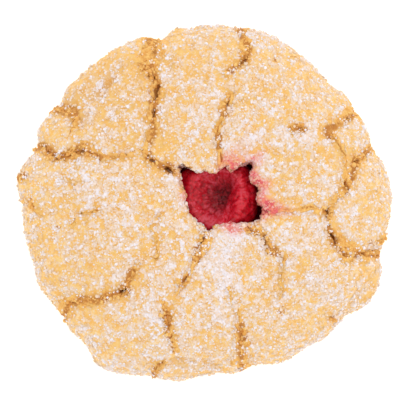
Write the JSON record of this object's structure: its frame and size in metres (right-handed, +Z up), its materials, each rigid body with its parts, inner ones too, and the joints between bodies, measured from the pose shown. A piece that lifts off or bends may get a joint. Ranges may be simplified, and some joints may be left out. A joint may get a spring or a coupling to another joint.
{
  "type": "raspberry cookie",
  "caption": "Thick round sugar cookie with a domed, cracked top and a flat base, with a raspberry baked into the opening in its middle.",
  "frame": {"origin": "middle of the bounding box, on the flat base the cookie rests on", "axes": "+Z up out of the domed top, +X along the cookie's longer way across, +Y towards the edge with the wide crack, at the top of the picture"},
  "size_m": [0.0796, 0.0756, 0.02],
  "materials": {
    "baked_dough": "matt, rough crumb coated in granulated sugar",
    "raspberry_flesh": "soft, velvety and slightly moist"
  },
  "bodies": {
    "root": {"cookie": "baked_dough", "raspberry": "raspberry_flesh"}
  },
  "joints": []
}
